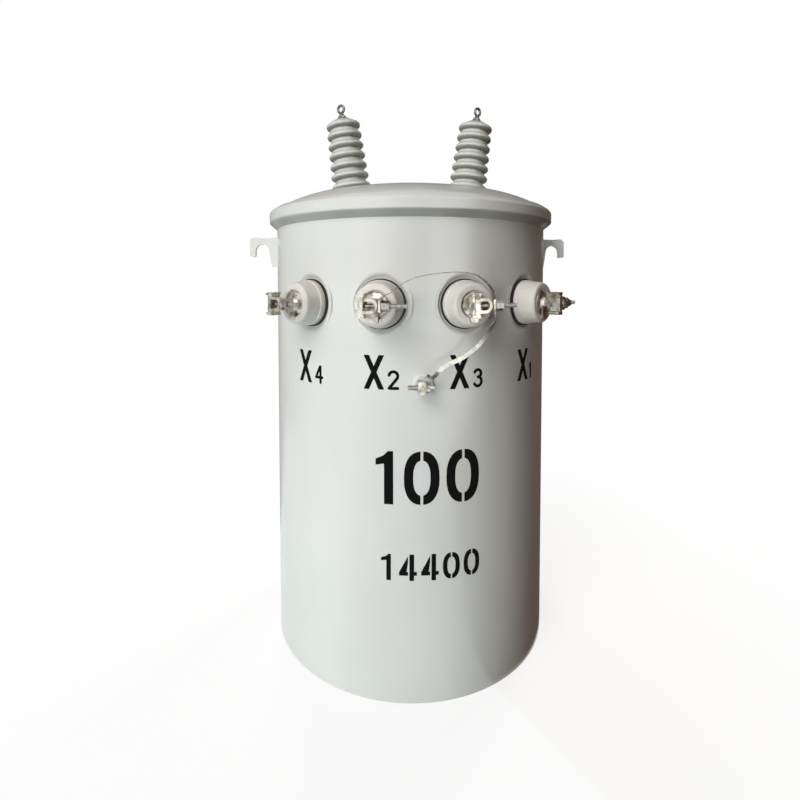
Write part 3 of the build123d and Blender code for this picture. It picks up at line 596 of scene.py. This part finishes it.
def bead(name, path, normals, width, rise, closed=False):
    """Weld bead along a path: low rounded rings, rippled along the run, with both feet sunk in the plates."""
    shape = bmesh.new()
    rings = []
    run_length = 0.0
    for i, point in enumerate(path):
        before = path[i - 1] if i or closed else path[0]
        after = path[(i + 1) % len(path)] if closed or i + 1 < len(path) else path[-1]
        run = (after - before).normalized()
        up = normals[i].normalized()
        across = run.cross(up).normalized()
        if i:
            run_length += (point - path[i - 1]).length
        swell = 1 + 0.16 * abs(sin(pi * run_length / RIPPLE)) + 0.05 * sin(run_length / SWAY)
        end = 0.45 if not closed and i in (0, len(path) - 1) else 1.0
        ring = []
        for k in range(BEAD_SIDES):
            t = pi * (k / (BEAD_SIDES - 1) * 1.3 - 0.15)       # a half round and a little more at both feet
            corner = point + across * cos(t) * width / 2 * end + up * (sin(t) * rise * swell) * end
            ring.append(shape.verts.new(corner))
        rings.append(ring)
    join_rings(shape, rings, closed)
    return piece(name, to_mesh(name, shape), ENAMEL)


def straight(start, end, step=1.1 * MM):
    """Points of a straight run, no further apart than about a step."""
    count = max(int((end - start).length / step), 2)
    return [start.lerp(end, k / count) for k in range(count + 1)]


# fillet welds down both faces of each lifting lug
for side_name, side in (("left", -1), ("right", 1)):
    low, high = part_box("lifting_lug_" + side_name)
    for face_name, y in (("front", low.y), ("back", high.y)):
        x = side * sqrt(TANK_R**2 - y**2)
        out = Vector((side, 1 if y > 0 else -1, 0)).normalized()
        foot = Vector((x, y, 0)) + out * WELD_SINK
        start, end = low.z + LUG_WELD_ENDS[0], high.z - LUG_WELD_ENDS[1]
        run = straight(foot + Vector((0, 0, start)), foot + Vector((0, 0, end)))
        bead(f"lug_weld_{side_name}_{face_name}", run, [out] * len(run), WELD_W, WELD_RISE["lug"])

# fillet welds down both sides of each hanger bracket
for bracket in ("lower", "upper"):
    low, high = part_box("hanger_bracket_" + bracket)
    for side_name, x in (("left", low.x), ("right", high.x)):
        y = sqrt(TANK_R**2 - x**2)
        out = (Vector((x / TANK_R, y / TANK_R, 0)) + Vector((1 if x > 0 else -1, 0, 0))).normalized()
        foot = Vector((x, y, 0)) + out * WELD_SINK
        start, end = low.z + BRACKET_WELD_END, high.z - BRACKET_WELD_END
        run = straight(foot + Vector((0, 0, start)), foot + Vector((0, 0, end)))
        bead(f"bracket_weld_{bracket}_{side_name}", run, [out] * len(run), WELD_W, WELD_RISE["bracket"])

# ring weld round the ground boss
boss_low, boss_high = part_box("ground_boss")
boss_r = (boss_high.x - boss_low.x) / 2
turns = [2 * pi * k / BOSS_WELD_STEPS for k in range(BOSS_WELD_STEPS)]
ring_points = [on_tank(cos(t) * boss_r, GROUND_Z + sin(t) * boss_r, WELD_SINK) for t in turns]
ring_normals = [Vector((cos(t), -1, sin(t))) for t in turns]
bead("ground_boss_weld", ring_points, ring_normals, SMALL_WELD_W, WELD_RISE["boss"], closed=True)

# seam of the rolled tank wall, and the weld of the bottom plate inside the skirt
SEAM_ANGLE = 148.0                 # degrees from the front, round to the right
SEAM_START = 1 * MM                # above the edge of the skirt
SEAM_END = 16 * MM                 # below the rim, under the clamping band
SEAM_STEP = 1.7 * MM
seam_along = radians(SEAM_ANGLE) * TANK_R
seam_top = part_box("tank_shell")[1].z - SEAM_END
seam = straight(on_tank(seam_along, SEAM_START), on_tank(seam_along, seam_top), SEAM_STEP)
seam_out = on_tank(seam_along, 0) / TANK_R
bead("tank_seam", seam, [seam_out] * len(seam), SMALL_WELD_W, WELD_RISE["seam"])

BOTTOM_WELD_OFF = 0.3 * MM         # its middle line stands off the wall and the plate by this
inside_r = TANK_R - WALL
turns = [2 * pi * k / BOTTOM_WELD_STEPS for k in range(BOTTOM_WELD_STEPS)]
spokes = [Vector((cos(t), sin(t), 0)) for t in turns]
bottom_middle = Vector((0, 0, BOTTOM_Z - BOTTOM_WELD_OFF))
bottom_points = [spoke * (inside_r - BOTTOM_WELD_OFF) + bottom_middle for spoke in spokes]
bottom_normals = [-spoke + Vector((0, 0, -1)) for spoke in spokes]
bead("bottom_plate_weld", bottom_points, bottom_normals, SMALL_WELD_W, WELD_RISE["bottom"], closed=True)


# ---- threads ----
TURN_STEPS = 16                    # rings in one turn of a thread
FADE_STEPS = 6                     # the crest grows from the shank over these rings at both ends
# corners of one ridge: place in shares of the pitch, and 1 for a corner on the crest
RIDGE = ((-0.42, 0), (-0.08, 1), (0.08, 1), (0.42, 0))


def thread(name, start, axis, length, root_r, crest_r, pitch):
    """Helical ridge of a screw thread round a plain shank."""
    axis = axis.normalized()
    side = axis.orthogonal().normalized()
    other = axis.cross(side)
    shape = bmesh.new()
    count = int(length / pitch * TURN_STEPS)
    rings = []
    for i in range(count + 1):
        t = 2 * pi * i / TURN_STEPS
        spoke = side * cos(t) + other * sin(t)
        along = start + axis * (length * i / count)
        fade = min(1.0, i / FADE_STEPS, (count - i) / FADE_STEPS)
        crest = root_r + (crest_r - root_r) * fade
        ring = []
        for share, on_crest in RIDGE:
            corner = along + axis * pitch * share + spoke * (crest if on_crest else root_r)
            ring.append(shape.verts.new(corner))
        rings.append(ring)
    join_rings(shape, rings)
    return piece(name, to_mesh(name, shape), ZINC)


CLAMP_OUT = 71 * MM                # middle of a clamp bolt above the tank wall
BOLT_R = 3.5 * MM
CLAMP_THREAD_START = -6 * MM       # along the bolt from the clamp's middle
GROUND_THREAD_START = 1.5 * MM     # from the bolt's left end
# length, radius at the root and at the crest, and pitch
CLAMP_THREAD = (64 * MM, BOLT_R - 0.05 * MM, BOLT_R + 0.5 * MM, 1.9 * MM)
GROUND_THREAD = (13 * MM, 3.95 * MM, 4.5 * MM, 1.8 * MM)
for name, angle in LV_ANGLE.items():
    a = radians(angle)
    sideways = Vector((cos(a), sin(a), 0))
    centre = Vector((sin(a), -cos(a), 0)) * (TANK_R + CLAMP_OUT) + Vector((0, 0, LV_Z))
    thread(f"clamp_bolt_thread_{name}", centre + sideways * CLAMP_THREAD_START, sideways, *CLAMP_THREAD)
bolt_start = middle("ground_bolt")
bolt_start.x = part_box("ground_bolt")[0].x + GROUND_THREAD_START
thread("ground_bolt_thread", bolt_start, Vector((1, 0, 0)), *GROUND_THREAD)


# ================= studio =================

def seen_or_mirrored(tree):
    """1 for what is seen straight, through glass or in a mirror, and 0 for the light that falls on things."""
    path = add(tree, "ShaderNodeLightPath").outputs
    straight_on = {0: path["Is Camera Ray"], 1: path["Is Transmission Ray"]}
    seen = add(tree, "ShaderNodeMath", straight_on, operation="MAXIMUM").outputs["Value"]
    with_mirrored = {0: seen, 1: path["Is Glossy Ray"]}
    return add(tree, "ShaderNodeMath", with_mirrored, operation="MAXIMUM").outputs["Value"]


def blank_stage_material(name):
    """A material with no nodes at all, for the floor and the cards."""
    made = bpy.data.materials.new(name)
    made.use_nodes = True
    made.node_tree.nodes.clear()
    return made, made.node_tree


def studio_floor():
    """Pale floor: it keeps the soft shadow near the tank and runs out into the white surroundings."""
    made, tree = blank_stage_material("pale_floor")
    place = add(tree, "ShaderNodeTexCoord").outputs["Object"]
    away = add(tree, "ShaderNodeVectorMath", {0: place}, operation="LENGTH").outputs["Value"]
    # 22 percent of what shows near the tank is the lit floor with its shadow, and from 1.5 m out none is
    fade = add(
        tree, "ShaderNodeMapRange", {"Value": away, "From Min": 0.3, "From Max": 1.5, "To Min": 0.78},
        interpolation_type="SMOOTHSTEP",
    ).outputs["Result"]
    lit = add(tree, "ShaderNodeBsdfDiffuse", {"Color": linear("#FFFFFF")}).outputs["BSDF"]
    white = add(tree, "ShaderNodeEmission", {"Color": (1, 1, 1, 1), "Strength": 1.0}).outputs["Emission"]
    seen = add(tree, "ShaderNodeMixShader", {"Fac": fade, 1: lit, 2: white}).outputs["Shader"]
    # light that the floor throws back up: cool and strong at the front left, dim and brown elsewhere
    from_left = add(
        tree, "ShaderNodeVectorMath", {0: place, 1: (-0.75, -0.75, 0)}, operation="DISTANCE"
    ).outputs["Value"]
    dim = add(
        tree, "ShaderNodeMapRange", {"Value": from_left, "From Min": 0.6, "From Max": 1.25},
        interpolation_type="SMOOTHSTEP",
    ).outputs["Result"]
    bounce = add(tree, "ShaderNodeValToRGB", {"Fac": dim}, stops=[(0.0, "#D6F0F4"), (1.0, "#30281F")])
    dull = add(tree, "ShaderNodeBsdfDiffuse", {"Color": bounce.outputs["Color"]}).outputs["BSDF"]
    both = add(tree, "ShaderNodeMixShader", {"Fac": seen_or_mirrored(tree), 1: dull, 2: seen})
    add(tree, "ShaderNodeOutputMaterial", {"Surface": both.outputs["Shader"]})
    return made


def stage_piece(name, shape, material):
    """A mesh of the studio, which isn't part of the transformer."""
    made = bpy.data.objects.new(name, to_mesh(name, shape))
    bpy.context.scene.collection.objects.link(made)
    made.data.materials.append(material)
    return made


def add_floor():
    """Level floor just under the skirt, wide enough to have no edge in sight."""
    shape = bmesh.new()
    bmesh.ops.create_grid(shape, x_segments=4, y_segments=4, size=30)
    made = stage_piece("floor", shape, studio_floor())
    made.location = (0, 0, CAD_BOX[0].z - 0.5 * MM)


def add_surroundings():
    """White where it is seen or mirrored, and a dim even sky for the rest of the light."""
    world = bpy.data.worlds.new("studio")
    bpy.context.scene.world = world
    world.use_nodes = True
    tree = world.node_tree
    tree.nodes.clear()
    sky = add(tree, "ShaderNodeBackground", {"Color": linear("#D9DEE6"), "Strength": 0.07})
    white = add(tree, "ShaderNodeBackground", {"Color": (1, 1, 1, 1), "Strength": 1.0})
    shown = {"Fac": seen_or_mirrored(tree), 1: sky.outputs["Background"], 2: white.outputs["Background"]}
    both = add(tree, "ShaderNodeMixShader", shown)
    add(tree, "ShaderNodeOutputWorld", {"Surface": both.outputs["Shader"]})


def softbox(name, position, aim_z, size, power, colour, mirrored):
    """Soft lamp that faces the tank's axis at a height; unless mirrored, it leaves no patch in the gloss."""
    light = bpy.data.lights.new(name, "AREA")
    light.shape = "RECTANGLE"
    light.size, light.size_y = size
    light.energy = power
    light.color = linear(colour)[:3]
    made = bpy.data.objects.new(name, light)
    made.location = position
    made.rotation_euler = (Vector((0, 0, aim_z)) - Vector(position)).to_track_quat("-Z", "Y").to_euler()
    made.visible_glossy = mirrored
    bpy.context.scene.collection.objects.link(made)


def add_camera():
    """Camera a little left of the middle of the front and above the low-voltage bushings."""
    lens = bpy.data.cameras.new("camera")
    lens.sensor_width = 36.0
    lens.lens = 22.71
    lens.shift_x, lens.shift_y = -0.0006, -0.124
    lens.clip_start, lens.clip_end = 0.05, 100
    made = bpy.data.objects.new("camera", lens)
    made.location = (-0.0956, -1.1785, 0.7606)
    turn, dip = radians(3.59), radians(2.18)
    ahead = Vector((sin(turn) * cos(dip), cos(turn) * cos(dip), -sin(dip)))
    made.rotation_euler = ahead.to_track_quat("-Z", "Y").to_euler()
    bpy.context.scene.collection.objects.link(made)
    bpy.context.scene.camera = made


# Cards stand round the studio on a ring, each with a foot laid inward on the floor.
# Their angles are in degrees from the front, round to the right.
CARD_FAR = 2.1
CARD_NEAR = 1.9
CARD_AT_TANK = TANK_R + 2 * MM     # a foot laid in as far as the tank darkens the floor that the wall mirrors
CARD_TOP = 3.2
CARD_FOOT_Z = 3 * MM               # just above the floor
CARD_STEPS = 24


def card_material(name, colour, strength, far_colour, first, last):
    """Even light in one colour, or one that turns into far_colour from the card's first end to its last."""
    made, tree = blank_stage_material(name)
    if far_colour:
        place = add(tree, "ShaderNodeTexCoord").outputs["Object"]
        across = add(tree, "ShaderNodeSeparateXYZ", {"Vector": place}).outputs
        from_back = add(
            tree, "ShaderNodeMath", {0: across["X"], 1: across["Y"]}, operation="ARCTAN2"
        ).outputs["Value"]
        share = add(
            tree, "ShaderNodeMapRange",
            {"Value": from_back, "From Min": pi - radians(first), "From Max": pi - radians(last)},
        ).outputs["Result"]
        shown = add(
            tree, "ShaderNodeValToRGB", {"Fac": share}, stops=[(0.0, colour), (1.0, far_colour)]
        ).outputs["Color"]
    else:
        shown = linear(colour)
    glow = add(tree, "ShaderNodeEmission", {"Color": shown, "Strength": strength}).outputs["Emission"]
    add(tree, "ShaderNodeOutputMaterial", {"Surface": glow})
    return made


def add_card(name, colour, near, top, first, last, strength=1.0, to_diffuse=True, far_colour=None):
    """Card that stands round part of the studio with its foot on the floor: it is mirrored, and not seen."""
    shape = bmesh.new()
    profile = [(near, CARD_FOOT_Z), (CARD_FAR, CARD_FOOT_Z), (CARD_FAR, top)]
    rows = []
    for k in range(CARD_STEPS + 1):
        t = radians(first + (last - first) * k / CARD_STEPS)
        rows.append([shape.verts.new((sin(t) * r, -cos(t) * r, z)) for r, z in profile])
    for one, two in zip(rows, rows[1:]):
        for k in range(len(profile) - 1):
            shape.faces.new((one[k], one[k + 1], two[k + 1], two[k]))
    made = stage_piece(name, shape, card_material(name, colour, strength, far_colour, first, last))
    made.visible_camera = False
    made.visible_shadow = False
    made.visible_diffuse = to_diffuse


add_floor()
add_surroundings()
add_card("brown_card", "#4A3520", CARD_AT_TANK, CARD_TOP, 44, 140)
add_card("brown_card_foot", "#4A3520", CARD_AT_TANK, CARD_FOOT_Z + 1 * MM, 27, 44)
add_card("bright_card_right", "#FFFFFF", CARD_NEAR, CARD_TOP, 10, 38, strength=2.4, to_diffuse=False)
add_card("grey_card_left", "#C6C6C2", CARD_NEAR, CARD_TOP, -128, -80, to_diffuse=False)
add_card("turning_card_back", "#4A3520", CARD_AT_TANK, CARD_TOP, 140, 232, far_colour="#B4B3AF")

# lamps: place, height they face, width and height, watts, colour, and whether the gloss shows them
for lamp in (
    ("high_softbox", (-3.1, -3.95, 4.75), 0.5, (3.3, 3.0), 224, "#FFFDFB", False),
    ("low_softbox", (-1.8, -2.91, 0.8), 0.5, (1.8, 1.4), 51, "#FFFDFB", False),
    ("front_softbox", (-1.45, -3.1, 2.2), 0.6, (0.9, 1.3), 12, "#FFFDFA", True),
    ("back_right_softbox", (2.35, 2.55, 1.6), 0.55, (1.4, 2.0), 105, "#FFFDFB", False),
    ("back_left_softbox", (-1.0, 3.3, 2.0), 0.55, (1.4, 2.0), 64, "#FFFDFB", False),
):
    softbox(*lamp)
add_camera()
bpy.context.scene.view_settings.view_transform = "Standard"
